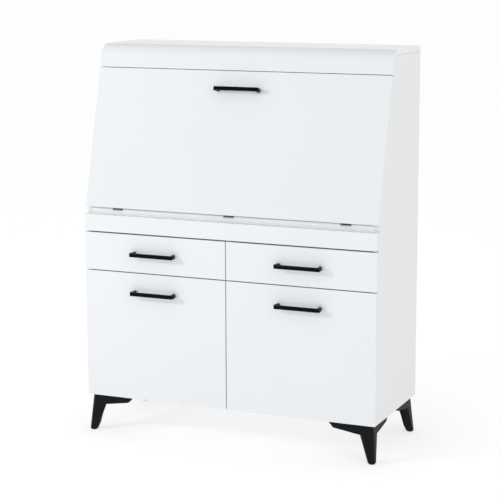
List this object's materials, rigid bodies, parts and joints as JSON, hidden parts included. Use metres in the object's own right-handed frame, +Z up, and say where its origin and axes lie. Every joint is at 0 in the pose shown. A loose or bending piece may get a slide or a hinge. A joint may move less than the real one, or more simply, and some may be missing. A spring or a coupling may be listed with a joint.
{
  "type": "secretary desk",
  "caption": "White fall-front secretary desk on black corner feet: slanted flap over drawers and doors.",
  "frame": {"origin": "on the floor, under the centre of the desk's box", "axes": "+Z up, front faces -Y, +X to the right seen from the front"},
  "size_m": [0.92, 0.4, 1.165],
  "materials": {
    "gloss_white": "high-gloss white lacquer foil on 16 mm board",
    "carcass_white": "satin white melamine on 16 mm board",
    "drawer_white": "matt white melamine on 12 mm board",
    "back_hardboard": "white-faced 4 mm hardboard",
    "foot_black": "fine-grained black moulded plastic",
    "handle_black": "satin black powder coat",
    "hinge_steel": "nickel-plated steel",
    "hinge_dark": "burnished dark steel",
    "runner_steel": "white epoxy-coated steel",
    "stay_head": "grey moulded plastic"
  },
  "bodies": {
    "carcass": {"side_panel_left": "carcass_white", "side_panel_right": "carcass_white", "worktop": "carcass_white", "bottom_panel": "carcass_white", "front_rail": "carcass_white", "centre_partition": "carcass_white", "inner_shelf": "carcass_white", "cupboard_shelf_left": "carcass_white", "cupboard_shelf_right": "carcass_white", "top_panel": "gloss_white", "apron": "gloss_white", "back_panel": "back_hardboard", "foot_front_left": "foot_black", "foot_front_right": "foot_black", "foot_back_right": "foot_black", "foot_back_left": "foot_black", "runner_left_inner_cabinet": "runner_steel", "runner_left_outer_cabinet": "runner_steel", "door_left_hinge_lower_arm": "hinge_steel", "door_left_hinge_upper_arm": "hinge_steel", "runner_right_inner_cabinet": "runner_steel", "runner_right_outer_cabinet": "runner_steel", "door_right_hinge_lower_arm": "hinge_steel", "door_right_hinge_upper_arm": "hinge_steel", "flap_hinge_left_fixed_leaf": "hinge_dark", "flap_hinge_centre_fixed_leaf": "hinge_dark", "flap_hinge_right_fixed_leaf": "hinge_dark"},
    "flap": {"flap": "gloss_white", "flap_handle": "handle_black", "flap_hinge_left_moving_leaf": "hinge_dark", "flap_hinge_centre_moving_leaf": "hinge_dark", "flap_hinge_right_moving_leaf": "hinge_dark"},
    "flap_stay_left_rod": {"flap_stay_left_rod": "hinge_steel"},
    "flap_stay_left_head": {"flap_stay_left_head": "stay_head"},
    "flap_stay_right_rod": {"flap_stay_right_rod": "hinge_steel"},
    "flap_stay_right_head": {"flap_stay_right_head": "stay_head"},
    "drawer_left": {"drawer_left_front": "gloss_white", "drawer_left_side_inner": "drawer_white", "drawer_left_side_outer": "drawer_white", "drawer_left_back": "drawer_white", "drawer_left_bottom": "back_hardboard", "drawer_left_handle": "handle_black", "runner_left_inner_drawer": "runner_steel", "runner_left_outer_drawer": "runner_steel"},
    "drawer_right": {"drawer_right_front": "gloss_white", "drawer_right_side_inner": "drawer_white", "drawer_right_side_outer": "drawer_white", "drawer_right_back": "drawer_white", "drawer_right_bottom": "back_hardboard", "drawer_right_handle": "handle_black", "runner_right_inner_drawer": "runner_steel", "runner_right_outer_drawer": "runner_steel"},
    "door_left": {"door_left": "gloss_white", "door_left_handle": "handle_black", "door_left_hinge_lower_cup": "hinge_steel", "door_left_hinge_upper_cup": "hinge_steel"},
    "door_right": {"door_right": "gloss_white", "door_right_handle": "handle_black", "door_right_hinge_lower_cup": "hinge_steel", "door_right_hinge_upper_cup": "hinge_steel"}
  },
  "joints": [
    {"name": "flap_hinge", "type": "hinge", "parent": "carcass", "child": "flap", "pos_m": [0, -0.149, 0.685], "axis": [1, 0, 0], "range_deg": [0, 104.9]},
    {"name": "flap_stay_left_rod_pivot", "type": "hinge", "parent": "flap", "child": "flap_stay_left_rod", "pos_m": [-0.433, -0.09896, 0.82641], "axis": [1, 0, 0], "range_deg": [-52.45, 0]},
    {"name": "flap_stay_left_head_swivel", "type": "hinge", "parent": "carcass", "child": "flap_stay_left_head", "pos_m": [-0.433, -0.06296, 0.80787], "axis": [1, 0, 0], "range_deg": [0, 52.45]},
    {"name": "flap_stay_right_rod_pivot", "type": "hinge", "parent": "flap", "child": "flap_stay_right_rod", "pos_m": [0.433, -0.09896, 0.82641], "axis": [1, 0, 0], "range_deg": [-52.45, 0]},
    {"name": "flap_stay_right_head_swivel", "type": "hinge", "parent": "carcass", "child": "flap_stay_right_head", "pos_m": [0.433, -0.06296, 0.80787], "axis": [1, 0, 0], "range_deg": [0, 52.45]},
    {"name": "drawer_left_slide", "type": "slide", "parent": "carcass", "child": "drawer_left", "axis": [0, -1, 0], "range_m": [0, 0.25]},
    {"name": "drawer_right_slide", "type": "slide", "parent": "carcass", "child": "drawer_right", "axis": [0, -1, 0], "range_m": [0, 0.25]},
    {"name": "door_left_hinge", "type": "hinge", "parent": "carcass", "child": "door_left", "pos_m": [-0.456, -0.172, 0.306], "axis": [0, 0, -1], "range_deg": [0, 105]},
    {"name": "door_right_hinge", "type": "hinge", "parent": "carcass", "child": "door_right", "pos_m": [0.456, -0.172, 0.306], "axis": [0, 0, 1], "range_deg": [0, 105]}
  ],
  "couplings": [
    {"joint": "flap_stay_left_rod_pivot", "follows": "flap_hinge", "ratio": -0.5},
    {"joint": "flap_stay_left_head_swivel", "follows": "flap_hinge", "ratio": 0.5},
    {"joint": "flap_stay_right_rod_pivot", "follows": "flap_hinge", "ratio": -0.5},
    {"joint": "flap_stay_right_head_swivel", "follows": "flap_hinge", "ratio": 0.5}
  ]
}
